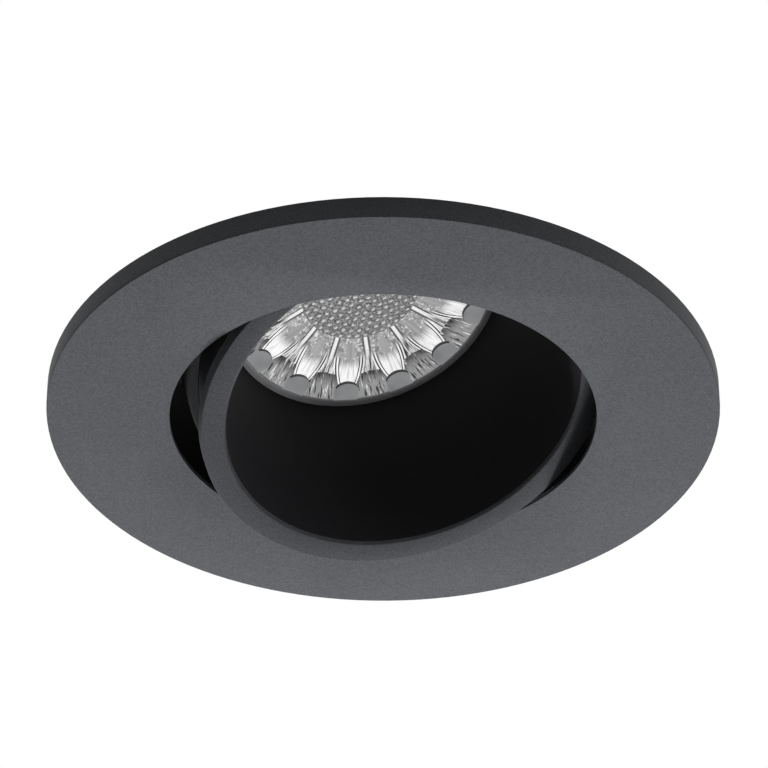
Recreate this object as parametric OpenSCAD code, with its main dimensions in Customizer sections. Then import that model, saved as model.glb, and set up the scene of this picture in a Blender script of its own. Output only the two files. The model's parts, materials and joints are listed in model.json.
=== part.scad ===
// Recessed soffit downlight with a swivelling, tilting lamp head.
// The origin is on the axis of the cut-out, in the plane of the soffit. +Z points up into the soffit.
// The head aims towards -Y. It is drawn in its own frame: hinge axis on X, lens looking down -Z.

/* [Bezel] */
// Outer diameter of the flange
flange_d = 90; // [88:1:96]
// Diameter of the opening in the flange
opening_d = 57.14; // [57:0.1:58]
// Height of the flange's outer edge
flange_t = 3.1; // [2.6:0.1:3.6]
// Thickness of the plate round the opening
plate_t = 1.3; // [1:0.1:1.5]
// How far the foam gasket stands proud of the flange
gasket_proud = 0.4; // [0.2:0.1:0.8]
// Outer diameter of the spigot that enters the cut-out
spigot_d = 76.6; // [76.4:0.1:77.4]
// Height of the spigot above the soffit plane
spigot_h = 9; // [7:0.5:10]
// Wall of the spigot
spigot_wall = 2.4; // [2:0.1:2.6]

/* [Head] */
// Tilt of the head
tilt = 20; // [0:1:25]
// Height of the hinge axis above the face of the level rim
hinge_h = 12.4; // [12:0.1:12.8]
// Outer diameter of the head's front rim
rim_d = 55.76; // [55:0.1:56]
// Thickness of the rim's lip
rim_lip_t = 1.9; // [1.5:0.1:2.4]
// Diameter of the lamp housing behind the rim
housing_d = 55; // [54:0.1:55.4]
// Inner diameter of the baffle at its mouth
baffle_mouth_d = 48.8; // [47:0.1:49]
// Inner diameter of the baffle at the lens
baffle_lens_d = 38.6; // [37:0.1:39]
// Depth of the baffle
baffle_depth = 22.9; // [21:0.1:23]

/* [Optic] */
// Clear diameter of the lens inside its ring
lens_clear_d = 37; // [34:0.1:37.2]
// Diameter of the domed centre of the lens
dome_d = 16.2; // [10:0.1:18]
// Height of the domed centre
dome_h = 0.9; // [0.3:0.1:1.4]
// Number of flutes round the side of the lens
flutes = 14; // [8:1:20]

/* [Heat sink] */
// Number of cooling fins
fins = 24; // [12:1:30]
// Thickness of a fin
fin_t = 1.4; // [1:0.1:1.6]
// Height of the fins above their base
fin_h = 10; // [6:0.5:10.5]

/* [Spring clips] */
// Diameter of the spring wire
wire_d = 1.4; // [1.2:0.1:1.5]
// Mean radius of a coil
coil_r = 2.6; // [2.5:0.1:2.7]
// Turns in each coil
coil_turns = 2.5; // [1.5:1:2.5]
// Advance of the coil in one turn
coil_pitch = 2.0; // [1.9:0.05:2.1]
// Length of a spring arm from its coil to the bend near its tip
arm_l = 29; // [20:1:32]
// Slope of the arms below the level, at rest
arm_slope = 18; // [10:1:20]

/* [Hidden] */
$fn = 96;

charcoal = [0.37, 0.38, 0.40];
soft_black = [0.06, 0.06, 0.065];
steel = [0.72, 0.73, 0.75];

// Flange, spigot and their heights
flange_r = flange_d / 2;
opening_r = opening_d / 2;
spigot_r = spigot_d / 2;
spigot_in_r = spigot_r - spigot_wall;
face_z = -flange_t - gasket_proud;
ledge_z = face_z + plate_t;
edge_round = 0.12;
lip_t = 0.6;
lip_bevel = 1.0;
gasket_seat_z = -1.4;
gasket_in_r = spigot_r + 1.0;
gasket_out_r = flange_r - 1.6;
gasket_seat_r = flange_r - 1.4;

// Swivel ring, turning on the bezel's ledge
swivel_in_r = 31.4;
swivel_wall = 2.0;
swivel_out_r = swivel_in_r + swivel_wall;
swivel_flange_r = spigot_in_r - 0.35;
swivel_clear = 0.45;
swivel_flange_t = 2.5;
swivel_low_z = ledge_z + swivel_clear;
swivel_flange_z = swivel_low_z + swivel_flange_t;
swivel_top_z = 12.6;
glide_t = 0.4;
wave_gap = 0.8;
wave_t = 0.3;
wave_count = 4;
wave_in_r = swivel_out_r + 0.4;
wave_out_r = spigot_in_r - 0.5;
snap_low_z = swivel_flange_z + wave_gap;
snap_t = 1.0;
snap_groove = 0.8;
snap_width = 1.6;
snap_gap_deg = 22;
snap_eye_r = 1.1;
snap_eye_hole_r = 0.55;
snap_eye_deg = 1.6;
stop_low_z = 3.4;
stop_h = 3;
stop_w = 2.6;
stop_key_az = 135;
stop_key_in_r = 34.4;
stop_tooth_r = 35.3;

// Hinge of the head
hinge_z = face_z + hinge_h;
ear_r = 4.6;
pivot_r = 1.5;
pivot_in_x = 26.3;
pivot_head_r = 2.3;
pivot_head_t = 1.7;
socket_af_r = 1.1;
bush_bore_r = pivot_r + 0.06;
bush_r = 2.4;
bush_flange_r = 3.6;
bush_flange_t = 0.6;
boss_r = 4.2;
boss_x = 30.4;

// Rim, housing and baffle, as heights in the head's frame
rim_r = rim_d / 2;
rim_back_s = -hinge_h + rim_lip_t;
mouth_bevel = 0.4;
rim_mouth_r = baffle_mouth_d / 2 + mouth_bevel;
rim_bevel_s = -hinge_h + mouth_bevel;
rim_tube_r = 26.0;
rim_tube_in_r = 24.95;
rim_tube_s = 0.1;
housing_r = housing_d / 2;
step_s = -2.1;
housing_wall = 1.7;
housing_front_wall = 2.2;
housing_straight_s = 7.5;
housing_cone_r = 24.2;
housing_cone_s = 17;
housing_waist_r = 22.6;
housing_waist_s = 24;
housing_s = 27.6;
baffle_s = rim_bevel_s + 0.05;
baffle_wall = 0.7;
baffle_end_s = baffle_s + baffle_depth;

// Optic stack behind the baffle
ring_low_s = baffle_end_s + 0.05;
ring_t = 1.0;
ring_skirt_r = 20.7;
ring_skirt_in_r = 19.9;
ring_skirt_l = 3.6;
seal_t = 0.4;
lens_face_s = ring_low_s + 0.15;
lens_disc_s = lens_face_s + 0.75;
lens_dish_s = lens_face_s + 1.85;
lens_rim_s = lens_face_s + 0.45;
lens_seat_s = ring_low_s + ring_t + seal_t;
lens_seat_t = 1.5;
lens_seat_r = 19.1;
lens_cone_r = 18.0;
lens_tip_r = 8;
lens_tip_s = 25;
lens_cup_r = 6.6;
lens_cup_s = 19.5;
flute_r = 2.6;
petal_turn = 3.8;
foot_r = 1.9;
foot_top_r = 15.4;
holder_r = 19.85;
holder_waist_r = 17.4;
holder_straight_h = 2.6;
holder_cone_h = 6.6;
holder_wall = 1.2;
holder_floor_t = 1;
holder_s = 24.4;
cob_r = 17.5;
base_s = 27.9;
board_w = 19;
board_t = 1.6;
pad_t = 0.25;
emitter_r = 6.2;
emitter_t = 0.5;
cob_hole_r = 8.6;
cob_screw_x = 13.4;
cob_head_r = 2.4;
lead_slot_x = 14;
lead_slot = [4, 2.4, 2];

// Heat sink, its screws and the cable gland
base_r = 22.6;
base_t = 3.2;
fin_root_s = base_s + base_t;
fin_root_r = 21;
fin_top_r = 19;
fin_inner_r = 10.8;
hub_r = 7.2;
hub_h = 5;
screw_r = 1.5;
screw_circle_r = 20;
screw_head_r = 2.5;
screw_head_t = 2;
screw_azimuths = [-90, 30, 150];
screw_boss_r = 2.1;
screw_boss_s = 21.5;
gland_thread_r = 4.5;
gland_thread_l = 4.4;
gland_hex_r = 7;
gland_hex_t = 4;
gland_nut_r = 6.2;
gland_nut_h = 6.6;
gland_nut_shoulder_h = 4;
gland_seal_h = 4.8;
gland_bore_r = 3.4;
cable_bore_r = 2.5;

// Spring clips, turning on pins between lugs of the bezel
spring_y = 34;
spring_z = 17.6;
wire_r = wire_d / 2;
arm_x = 7.6;
tip_kick = 22;
tip_l = 7;
tip_bend_r = 2.2;
tip_gap = 2.2;
bridge_bend_r = 1.2;
sleeve_r = 1.5;
sleeve_l = 9;
lug_x = 8.4;
lug_t = 1.8;
lug_r = 2.9;
pin_r = 1.5;
pin_head_r = 2.2;
pin_head_t = 0.9;
pin_end_x = 12;
clip_r = 2.6;
clip_t = 0.6;
clip_x = 10.5;
clip_groove_r = 1.05;
wire_sides = 6;
rings_per_turn = 8;

function unit(v) = v / norm(v);
function mirror_x(p) = [-p[0], p[1], p[2]];
function reversed(list) = [for (i = [len(list) - 1:-1:0]) list[i]];

// A closed ring between two radii
module ring(out_r, in_r, h) {
    difference() {
        cylinder(r = out_r, h = h);
        translate([0, 0, -1]) cylinder(r = in_r, h = h + 2);
    }
}

// Everything on the head is drawn level and then tilted about the hinge
module in_head() {
    translate([0, 0, hinge_z]) rotate([-tilt, 0, 0]) children();
}

// A bar along X between two heights of X
module x_bar(r, x0, x1) {
    translate([x0, 0, 0]) rotate([0, 90, 0]) cylinder(r = r, h = x1 - x0, $fn = 48);
}

// The same thing on both ends of the hinge
module both_pivots() {
    for (a = [0, 180]) rotate([0, 0, a]) children();
}

// Bezel and what stays with it

// Section of the flange and spigot, with a rounded face edge and a bevelled lip at the opening
module bezel_section() {
    polygon([
        [opening_r, face_z + edge_round / 2],
        [opening_r + edge_round / 2, face_z],
        [flange_r - edge_round, face_z],
        [flange_r, face_z + edge_round],
        [flange_r, -gasket_proud],
        [gasket_seat_r, -gasket_proud],
        [gasket_seat_r, gasket_seat_z],
        [spigot_r, gasket_seat_z],
        [spigot_r, spigot_h],
        [spigot_in_r, spigot_h],
        [spigot_in_r, snap_low_z + snap_t],
        [spigot_in_r + snap_groove, snap_low_z + snap_t],
        [spigot_in_r + snap_groove, snap_low_z],
        [spigot_in_r, snap_low_z],
        [spigot_in_r, ledge_z],
        [opening_r + lip_bevel, ledge_z],
        [opening_r, face_z + lip_t]
    ]);
}

// Where a line from point p touches the circle of radius r round c, on its left side
function touch_left(p, c, r) =
    let (d = norm(c - p), a = atan2(c[1] - p[1], c[0] - p[0]) + asin(r / d))
    p + sqrt(d * d - r * r) * [cos(a), sin(a)];

// Side view of a lug, in Y and Z, from the spigot up to the eye for the spring pin
module lug_section() {
    foot_in = [spigot_in_r - 0.7, spigot_h - 1];
    eye = [spring_y, spring_z];
    touch = touch_left(foot_in, eye, lug_r);
    difference() {
        union() {
            translate(eye) circle(r = lug_r);
            polygon([foot_in, touch, eye, [spring_y + lug_r, spring_z], [spring_y + lug_r, spigot_h - 1]]);
        }
        translate(eye) circle(r = pin_r + 0.04);
    }
}

// A lug stands across the spigot wall; x is its inner face
module lug(x) {
    translate([x, 0, 0])
        rotate([90, 0, 90]) linear_extrude(height = lug_t) lug_section();
}

module lug_pair() {
    lug(lug_x);
    lug(-lug_x - lug_t);
}

module bezel() {
    color(charcoal) union() {
        rotate_extrude() bezel_section();
        for (a = [0, 180]) rotate([0, 0, a]) lug_pair();
        rotate([0, 0, stop_key_az])
            translate([stop_key_in_r, -stop_w / 2, stop_low_z])
                cube([spigot_in_r + 0.4 - stop_key_in_r, stop_w, stop_h]);
    }
}

module ceiling_gasket() {
    color(soft_black) translate([0, 0, gasket_seat_z]) ring(gasket_out_r, gasket_in_r, -gasket_seat_z);
}

module glide_ring() {
    color("ivory") translate([0, 0, ledge_z]) ring(swivel_flange_r - 0.5, swivel_in_r + 0.3, glide_t);
}

// Wavy spring washer: a flat strip whose height follows a sine round the ring
module wave_washer() {
    steps = 16 * wave_count;
    amplitude = (wave_gap - wave_t - 0.1) / 2;
    mid_z = swivel_flange_z + wave_gap / 2;
    low = -wave_t / 2;
    high = wave_t / 2;
    corners = [[wave_in_r, low], [wave_out_r, low], [wave_out_r, high], [wave_in_r, high]];
    points = [
        for (i = [0:steps - 1], c = corners)
            let (a = 360 * i / steps)
            [c[0] * cos(a), c[0] * sin(a), mid_z + c[1] + amplitude * sin(wave_count * a)]
    ];
    faces = [
        for (i = [0:steps - 1], k = [0:3])
            let (j = (i + 1) % steps, m = (k + 1) % 4)
            each [[4 * i + k, 4 * i + m, 4 * j + m], [4 * i + k, 4 * j + m, 4 * j + k]]
    ];
    color(steel) polyhedron(points, faces);
}

// Internal snap ring with an eye at each side of its gap, which straddles the stop key
module snap_ring() {
    ring_t = snap_t - 0.05;
    eye_ring_r = spigot_in_r - snap_eye_r + 0.1;
    in_r = spigot_in_r - snap_width;
    out_r = spigot_in_r + snap_groove - 0.05;
    color(steel) translate([0, 0, snap_low_z]) difference() {
        union() {
            difference() {
                ring(out_r, in_r, ring_t);
                rotate([0, 0, stop_key_az]) translate([0, 0, -1]) linear_extrude(height = snap_t + 2)
                    polygon([
                        [0, 0],
                        flange_r * [cos(snap_gap_deg / 2), -sin(snap_gap_deg / 2)],
                        flange_r * [cos(snap_gap_deg / 2), sin(snap_gap_deg / 2)]
                    ]);
            }
            for (side = [-1, 1]) rotate([0, 0, stop_key_az + side * (snap_gap_deg / 2 + snap_eye_deg)])
                translate([eye_ring_r, 0, 0]) cylinder(r = snap_eye_r, h = ring_t, $fn = 32);
        }
        for (side = [-1, 1]) rotate([0, 0, stop_key_az + side * (snap_gap_deg / 2 + snap_eye_deg)])
            translate([eye_ring_r, 0, -1]) cylinder(r = snap_eye_hole_r, h = ring_t + 2, $fn = 24);
    }
}

// Headed pins with a groove for the retaining clip
module spring_pins() {
    head_x = -lug_x - lug_t - 0.05;
    color(steel) for (a = [0, 180]) rotate([0, 0, a]) translate([0, spring_y, spring_z]) difference() {
        union() {
            x_bar(pin_r, head_x, pin_end_x);
            x_bar(pin_head_r, head_x - pin_head_t, head_x);
        }
        difference() {
            x_bar(pin_r + 1, clip_x - 0.05, clip_x + clip_t + 0.05);
            x_bar(clip_groove_r, clip_x - 1, clip_x + clip_t + 1);
        }
    }
}

// E-clips pushed into the grooves of the pins from above
module pin_clips() {
    color(steel) for (a = [0, 180]) rotate([0, 0, a]) translate([0, spring_y, spring_z]) difference() {
        x_bar(clip_r, clip_x, clip_x + clip_t);
        x_bar(clip_groove_r + 0.05, clip_x - 1, clip_x + clip_t + 1);
        translate([clip_x - 1, -clip_groove_r * 0.85, -clip_r - 1])
            cube([clip_t + 2, clip_groove_r * 1.7, clip_r + 1]);
        for (side = [-1, 1]) translate([0, side * 1.75, 0.5]) x_bar(0.5, clip_x - 1, clip_x + clip_t + 1);
    }
}

// Swivel ring and hinge

module swivel_section() {
    polygon([
        [swivel_in_r, swivel_low_z],
        [swivel_flange_r, swivel_low_z],
        [swivel_flange_r, swivel_flange_z],
        [swivel_out_r, swivel_flange_z],
        [swivel_out_r, swivel_top_z],
        [swivel_in_r, swivel_top_z]
    ]);
}

// The wall rises high enough to hide the void above the soffit, and round each pivot it
// rises further, as an ear that follows the wall's curve
module swivel_ears() {
    intersection() {
        ring(swivel_out_r, swivel_in_r, hinge_z + ear_r + 1);
        translate([0, 0, hinge_z]) both_pivots() x_bar(ear_r, swivel_in_r - 2, swivel_out_r + 2);
    }
}

module swivel_ring() {
    color(soft_black) difference() {
        union() {
            rotate_extrude() swivel_section();
            swivel_ears();
            rotate([0, 0, stop_key_az - 180])
                translate([swivel_out_r - 0.4, -stop_w / 2, stop_low_z])
                    cube([stop_tooth_r - swivel_out_r + 0.4, stop_w, stop_h]);
        }
        translate([0, 0, hinge_z]) both_pivots() {
            x_bar(pivot_r + 0.04, swivel_in_r - 3, swivel_out_r + 3);
            x_bar(pivot_head_r + 0.3, swivel_out_r - 0.3, swivel_out_r + 3);
        }
    }
}

// Socket screws through the ears, whose plain ends are the hinge
module pivot_screws() {
    head_x = swivel_out_r - 0.3;
    color(steel) translate([0, 0, hinge_z]) both_pivots() difference() {
        union() {
            x_bar(pivot_r, pivot_in_x, head_x);
            x_bar(pivot_head_r, head_x, head_x + pivot_head_t);
        }
        translate([head_x + 0.7, 0, 0]) rotate([0, 90, 0]) cylinder(r = socket_af_r, h = 2, $fn = 6);
    }
}

module pivot_bushes() {
    color("ivory") in_head() both_pivots() difference() {
        union() {
            x_bar(bush_r, pivot_in_x - 0.1, boss_x);
            x_bar(bush_flange_r, boss_x, boss_x + bush_flange_t);
        }
        x_bar(bush_bore_r, pivot_in_x - 1, boss_x + bush_flange_t + 1);
    }
}

// Head

module housing_section() {
    polygon([
        [rim_tube_r + 0.1, step_s],
        [housing_r - 0.3, step_s],
        [housing_r, step_s + 0.3],
        [housing_r, housing_straight_s],
        [housing_cone_r, housing_cone_s],
        [housing_waist_r, housing_waist_s],
        [housing_waist_r, housing_s],
        [housing_waist_r - housing_wall, housing_s],
        [housing_waist_r - housing_wall, housing_waist_s - 0.4],
        [housing_cone_r - housing_wall, housing_cone_s - 0.4],
        [housing_r - housing_front_wall, housing_straight_s - 0.5],
        [housing_r - housing_front_wall, rim_tube_s + 0.3],
        [rim_tube_r + 0.1, rim_tube_s + 0.3]
    ]);
}

module lamp_housing() {
    color(charcoal) in_head() difference() {
        union() {
            rotate_extrude() housing_section();
            both_pivots() x_bar(boss_r, housing_r - 1.6, boss_x);
            for (a = screw_azimuths) rotate([0, 0, a]) translate([screw_circle_r, 0, screw_boss_s])
                cylinder(r = screw_boss_r, h = housing_s - screw_boss_s, $fn = 48);
        }
        both_pivots() x_bar(bush_r + 0.02, housing_r - 4, boss_x + 1);
        translate([0, 0, -boss_r - 1]) cylinder(r = rim_tube_r + 0.1, h = boss_r + 1 + rim_tube_s + 0.3);
        for (a = screw_azimuths) rotate([0, 0, a]) translate([screw_circle_r, 0, screw_boss_s + 1])
            cylinder(r = screw_r + 0.02, h = housing_s - screw_boss_s, $fn = 32);
    }
}

// Lip, bevelled mouth and the tube that plugs into the housing
module front_rim() {
    color(charcoal) in_head() rotate_extrude() polygon([
        [rim_mouth_r, -hinge_h],
        [rim_r - edge_round, -hinge_h],
        [rim_r, -hinge_h + edge_round],
        [rim_r, rim_back_s],
        [rim_tube_r, rim_back_s],
        [rim_tube_r, rim_tube_s],
        [rim_tube_in_r, rim_tube_s],
        [rim_tube_in_r, rim_bevel_s],
        [rim_mouth_r - mouth_bevel, rim_bevel_s]
    ]);
}

module baffle() {
    mouth_r = baffle_mouth_d / 2;
    end_r = baffle_lens_d / 2;
    color(soft_black) in_head() rotate_extrude() polygon([
        [mouth_r, baffle_s],
        [rim_tube_in_r - 0.05, baffle_s],
        [rim_tube_in_r - 0.05, baffle_s + 1],
        [mouth_r + 0.5, baffle_s + 1],
        [end_r + baffle_wall, baffle_end_s - 0.7],
        [end_r + 2.4, baffle_end_s - 0.7],
        [end_r + 2.4, baffle_end_s],
        [end_r, baffle_end_s]
    ]);
}

module lens_ring() {
    clear_r = lens_clear_d / 2;
    color(charcoal) in_head() rotate_extrude() polygon([
        [clear_r, ring_low_s + 0.2],
        [clear_r + 0.2, ring_low_s],
        [ring_skirt_r, ring_low_s],
        [ring_skirt_r, ring_low_s + ring_t + ring_skirt_l],
        [ring_skirt_in_r, ring_low_s + ring_t + ring_skirt_l],
        [ring_skirt_in_r, ring_low_s + ring_t],
        [clear_r, ring_low_s + ring_t]
    ]);
}

module lens_gasket() {
    color("gray") in_head() translate([0, 0, ring_low_s + ring_t])
        ring(ring_skirt_in_r - 0.2, lens_clear_d / 2 + 0.1, seal_t);
}

// Moulded collimator: dished face with a domed disc in the middle and round feet at the edge,
// a fluted cone and a cup over the emitter
module lens() {
    clear_r = lens_clear_d / 2 - 0.3;
    dome_r = dome_d / 2;
    sphere_r = (dome_r * dome_r + dome_h * dome_h) / (2 * dome_h);
    slope = atan((lens_cone_r - lens_tip_r) / (lens_tip_s - lens_seat_s - lens_seat_t));
    color([0.85, 0.87, 0.9]) in_head() difference() {
        union() {
            rotate_extrude() polygon([
                [0, lens_disc_s],
                [dome_r, lens_disc_s],
                [dome_r, lens_dish_s],
                [clear_r, lens_rim_s],
                [clear_r, lens_seat_s],
                [lens_seat_r, lens_seat_s],
                [lens_seat_r, lens_seat_s + lens_seat_t],
                [lens_cone_r, lens_seat_s + lens_seat_t],
                [lens_tip_r, lens_tip_s],
                [0, lens_tip_s]
            ]);
            intersection() {
                translate([0, 0, lens_disc_s - dome_h + sphere_r]) sphere(r = sphere_r);
                translate([0, 0, lens_disc_s - dome_h - 1]) cylinder(r = dome_r, h = dome_h + 1.5);
            }
            intersection() {
                translate([0, 0, lens_face_s]) cylinder(r = clear_r, h = lens_seat_s - lens_face_s);
                for (i = [0:flutes - 1]) rotate([0, 0, petal_turn + i * 360 / flutes])
                    translate([foot_top_r + foot_r, 0, lens_face_s])
                        cylinder(r = foot_r, h = lens_seat_s - lens_face_s, $fn = 48);
            }
        }
        translate([0, 0, lens_cup_s])
            cylinder(r1 = lens_cup_r - 1, r2 = lens_cup_r, h = lens_tip_s - lens_cup_s + 1);
        for (i = [0:flutes - 1]) rotate([0, 0, petal_turn + (i + 0.5) * 360 / flutes])
            translate([lens_cone_r + flute_r * 0.72, 0, lens_seat_s + lens_seat_t + 0.6])
                rotate([0, -slope, 0]) cylinder(r = flute_r, h = 20, $fn = 48);
    }
}

module lens_holder() {
    seat_s = lens_seat_s + lens_seat_t + 0.05;
    color("whitesmoke") in_head() rotate_extrude() polygon([
        [lens_seat_r + 0.1, lens_seat_s],
        [holder_r, lens_seat_s],
        [holder_r, seat_s + holder_straight_h],
        [holder_waist_r, seat_s + holder_cone_h],
        [holder_waist_r, holder_s],
        [cob_hole_r + holder_wall, holder_s],
        [cob_hole_r + holder_wall, holder_s - holder_floor_t],
        [holder_waist_r - holder_wall, holder_s - holder_floor_t],
        [holder_waist_r - holder_wall, seat_s + holder_cone_h - 0.4],
        [lens_cone_r + 0.3, seat_s + holder_straight_h - 1],
        [lens_cone_r + 0.3, seat_s],
        [lens_seat_r + 0.1, seat_s]
    ]);
}

// Ring that clamps the light board, with a square seat and slots for the lead ends
module cob_holder() {
    low_s = holder_s + 0.05;
    seat_w = board_w + 0.2;
    seat_h = board_t + pad_t + 0.05;
    color("white") in_head() difference() {
        translate([0, 0, low_s]) cylinder(r = cob_r, h = base_s - low_s);
        translate([0, 0, low_s - 1]) cylinder(r1 = cob_hole_r + 1.6, r2 = cob_hole_r - 1, h = 3);
        translate([0, 0, low_s - 1]) cylinder(r = cob_hole_r, h = 6);
        translate([-seat_w / 2, -seat_w / 2, base_s - seat_h]) cube([seat_w, seat_w, seat_h + 1]);
        for (side = [-1, 1]) {
            translate([side * cob_screw_x, 0, low_s - 1]) cylinder(r = screw_r + 0.15, h = 6, $fn = 32);
            translate([side * cob_screw_x, 0, low_s - 1]) cylinder(r = cob_head_r + 0.2, h = 2.6, $fn = 48);
            rotate([0, 0, 90]) translate([side * lead_slot_x, 0, base_s])
                translate([-lead_slot[0] / 2, -lead_slot[1] / 2, -lead_slot[1] / 2]) cube(lead_slot);
        }
    }
}

module cob_board() {
    color("gainsboro") in_head() translate([-board_w / 2, -board_w / 2, base_s - pad_t - board_t])
        cube([board_w, board_w, board_t]);
}

module emitter() {
    color("gold") in_head() translate([0, 0, base_s - pad_t - board_t - emitter_t])
        cylinder(r = emitter_r, h = emitter_t);
}

module thermal_pad() {
    color("dimgray") in_head() translate([-board_w / 2, -board_w / 2, base_s - pad_t])
        cube([board_w, board_w, pad_t]);
}

// Screws that clamp the holder to the heat sink
module cob_screws() {
    head_s = holder_s + 0.05;
    color(steel) in_head() for (side = [-1, 1]) translate([side * cob_screw_x, 0, head_s]) difference() {
        union() {
            translate([0, 0, 0.1]) cylinder(r = cob_head_r, h = 1.5, $fn = 48);
            translate([0, 0, 1]) cylinder(r = screw_r, h = base_s + 2.4 - head_s - 1, $fn = 32);
        }
        translate([0, 0, -0.9]) cylinder(r = socket_af_r, h = 2, $fn = 6);
    }
}

module housing_gasket() {
    color("gray") in_head() translate([0, 0, housing_s]) difference() {
        ring(housing_waist_r - 0.1, housing_waist_r - housing_wall + 0.1, base_s - housing_s);
        for (a = screw_azimuths) rotate([0, 0, a]) translate([screw_circle_r, 0, -1])
            cylinder(r = screw_r + 0.5, h = 3, $fn = 32);
    }
}

// Straight fins stand on the base round a hub for the gland, cut to a tapered outline.
// A fin that would meet a screw head stops short of it.
function from_screw(a) = min([for (s = screw_azimuths) abs((a - s + 540) % 360 - 180)]);
function meets_screw(a) = screw_circle_r * from_screw(a) * PI / 180 < screw_head_r + 0.5 + fin_t / 2;
function fin_end_r(a) = meets_screw(a) ? screw_circle_r - screw_head_r - 1 : fin_root_r + 1;

module heat_sink_fins() {
    intersection() {
        translate([0, 0, fin_root_s - 0.5]) cylinder(r1 = fin_root_r, r2 = fin_top_r, h = fin_h + 0.5);
        for (i = [0:fins - 1])
            let (a = 360 * i / fins)
            rotate([0, 0, a]) translate([fin_inner_r, -fin_t / 2, fin_root_s - 0.5])
                cube([fin_end_r(a) - fin_inner_r, fin_t, fin_h + 0.5]);
    }
}

module heat_sink() {
    color([0.2, 0.2, 0.21]) in_head() difference() {
        union() {
            translate([0, 0, base_s]) cylinder(r = base_r, h = base_t);
            translate([0, 0, fin_root_s - 0.5]) cylinder(r = hub_r, h = hub_h + 0.5);
            heat_sink_fins();
        }
        for (a = screw_azimuths) rotate([0, 0, a]) translate([screw_circle_r, 0, base_s - 1])
            cylinder(r = screw_r + 0.15, h = base_t + 2, $fn = 32);
        for (side = [-1, 1]) translate([side * cob_screw_x, 0, base_s - 1])
            cylinder(r = screw_r + 0.02, h = 3.6, $fn = 32);
        translate([0, 0, fin_root_s + 0.4]) cylinder(r = gland_thread_r + 0.02, h = hub_h + 1);
        translate([0, 0, base_s - 1]) cylinder(r = cable_bore_r, h = base_t + 3);
    }
}

module heat_sink_screws() {
    color(steel) in_head() for (a = screw_azimuths) rotate([0, 0, a])
        translate([screw_circle_r, 0, fin_root_s]) difference() {
            union() {
                translate([0, 0, -base_t - 4]) cylinder(r = screw_r, h = base_t + 4, $fn = 32);
                cylinder(r = screw_head_r, h = screw_head_t, $fn = 48);
            }
            translate([0, 0, screw_head_t - 1.2]) cylinder(r = socket_af_r, h = 2, $fn = 6);
        }
}

module gland_body() {
    hub_top_s = fin_root_s + hub_h;
    color("dimgray") in_head() difference() {
        union() {
            translate([0, 0, hub_top_s - 4]) cylinder(r = gland_thread_r, h = 4);
            translate([0, 0, hub_top_s]) cylinder(r = gland_hex_r, h = gland_hex_t, $fn = 6);
            translate([0, 0, hub_top_s + gland_hex_t]) cylinder(r = gland_thread_r, h = gland_thread_l);
        }
        translate([0, 0, hub_top_s - 5]) cylinder(r = gland_bore_r, h = 20);
    }
}

module gland_seal() {
    color("black") in_head() translate([0, 0, fin_root_s + hub_h + gland_hex_t])
        ring(gland_bore_r - 0.02, cable_bore_r, gland_seal_h);
}

// Domed nut that squeezes the seal
module gland_nut() {
    low_s = fin_root_s + hub_h + gland_hex_t + 0.2;
    color("dimgray") in_head() difference() {
        intersection() {
            translate([0, 0, low_s]) cylinder(r = gland_nut_r + 0.6, h = gland_nut_h, $fn = 6);
            translate([0, 0, low_s]) rotate_extrude() polygon([
                [0, 0],
                [gland_nut_r + 0.6, 0],
                [gland_nut_r + 0.6, gland_nut_shoulder_h],
                [gland_nut_r - 1.6, gland_nut_h],
                [0, gland_nut_h]
            ]);
        }
        translate([0, 0, low_s - 1]) cylinder(r = gland_thread_r + 0.02, h = gland_thread_l + 1.3);
        translate([0, 0, low_s - 1]) cylinder(r = cable_bore_r + 0.5, h = gland_nut_h + 2);
    }
}

// Spring clips

// Half of the wire, with the arm level along +Y: from its end inside the sleeve, round the tip,
// along the arm, through the coil and into the bridge that joins the two coils
function tip_point(l) = [arm_l + l * cos(tip_kick), -coil_r + l * sin(tip_kick)];
function tip_path() = concat(
    [concat([tip_gap / 2], tip_point(tip_l))],
    [for (a = [90:-30:0])
        concat([arm_x - tip_bend_r * (1 - cos(a))], tip_point(tip_l - tip_bend_r * (1 - sin(a))))],
    [[arm_x, arm_l, -coil_r]]
);
coil_steps = coil_turns * rings_per_turn;
coil_end_x = arm_x - coil_pitch * coil_turns;
function coil_path() = [
    for (i = [0:coil_steps])
        let (a = -90 - 360 * i / rings_per_turn)
        [arm_x - coil_pitch * i / rings_per_turn, coil_r * cos(a), coil_r * sin(a)]
];
function bridge_path() = [
    for (a = [30:30:90])
        [coil_end_x - bridge_bend_r * (1 - cos(a)), bridge_bend_r * sin(a), coil_r]
];
function half_path() = concat(tip_path(), coil_path(), bridge_path());
function clip_path() = concat(half_path(), [for (p = reversed(half_path())) mirror_x(p)]);

// Tangents, and a side vector carried along the path so that the tube doesn't twist
function tangents(p) = [
    for (i = [0:len(p) - 1]) unit(p[min(i + 1, len(p) - 1)] - p[max(i - 1, 0)])
];
function carried(t) = [
    for (i = 0, n = unit(cross(t[0], [0.1, 0.2, 1])); i < len(t);
        i = i + 1, n = i < len(t) ? unit(n - (n * t[i]) * t[i]) : n) n
];

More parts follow.
